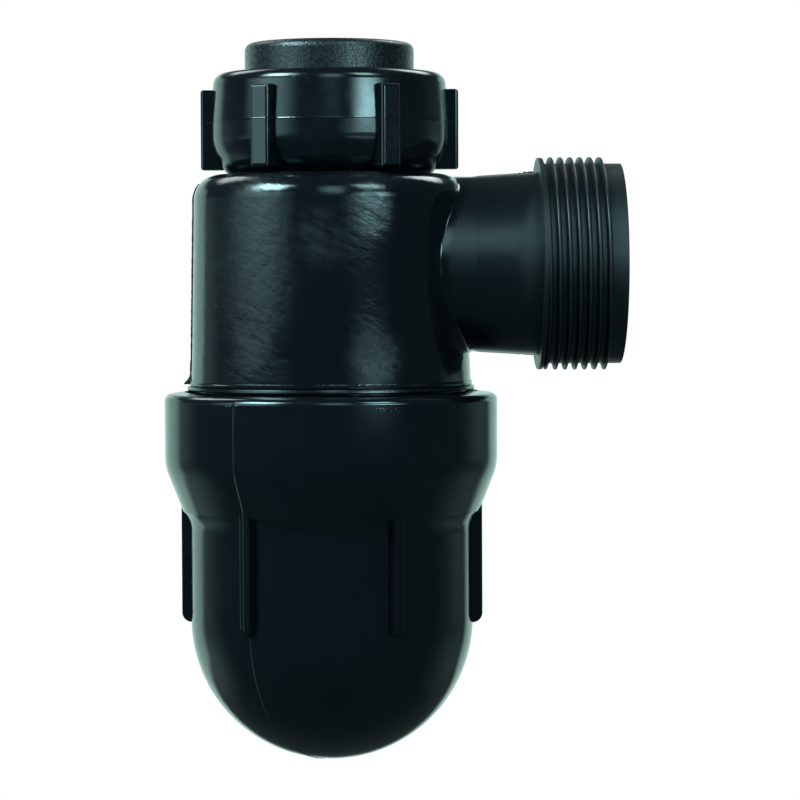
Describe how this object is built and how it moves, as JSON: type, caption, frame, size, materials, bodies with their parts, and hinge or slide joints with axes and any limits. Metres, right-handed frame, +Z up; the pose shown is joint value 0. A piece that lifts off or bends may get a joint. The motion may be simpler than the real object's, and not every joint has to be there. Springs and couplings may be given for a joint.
{
  "type": "laboratory sink trap",
  "caption": "Black plastic bottle trap for a laboratory sink: an inlet tube with a captive coupling nut, a threaded side outlet and a ribbed, domed bowl that unscrews for cleaning.",
  "frame": {"origin": "centre of the inlet tube's open upper end", "axes": "+Z up along the inlet tube, which is the trap's own axis; +X along the outlet, out of its socket"},
  "size_m": [0.1163, 0.0848, 0.1823],
  "materials": {
    "tube_plastic": "grainy moulded black plastic",
    "seal_rubber": "black rubber",
    "ring_plastic": "plain black plastic",
    "nut_plastic": "smooth black plastic",
    "body_plastic": "black plastic, scuffed",
    "bowl_plastic": "glossy black plastic"
  },
  "bodies": {
    "trap": {"trap_body": "body_plastic", "inlet_tube": "tube_plastic", "inlet_seal": "seal_rubber"},
    "thrust_ring": {"thrust_ring": "ring_plastic"},
    "inlet_nut": {"inlet_nut": "nut_plastic"},
    "bowl_seal": {"bowl_seal": "seal_rubber"},
    "bowl": {"bowl": "bowl_plastic"}
  },
  "joints": [
    {"name": "nut_lift", "type": "slide", "parent": "trap", "child": "thrust_ring", "axis": [0, 0, 1], "range_m": [0, 0.003]},
    {"name": "nut_turn", "type": "hinge", "parent": "thrust_ring", "child": "inlet_nut", "pos_m": [0, 0, -0.0281], "axis": [0, 0, 1], "continuous": true},
    {"name": "bowl_drop", "type": "slide", "parent": "trap", "child": "bowl_seal", "axis": [0, 0, -1], "range_m": [0, 0.0108]},
    {"name": "bowl_turn", "type": "hinge", "parent": "bowl_seal", "child": "bowl", "pos_m": [0, 0, -0.1086], "axis": [0, 0, -1], "range_deg": [0, 1080]}
  ],
  "couplings": [
    {"joint": "bowl_drop", "follows": "bowl_turn", "m_per_rad": 0.00057296}
  ]
}
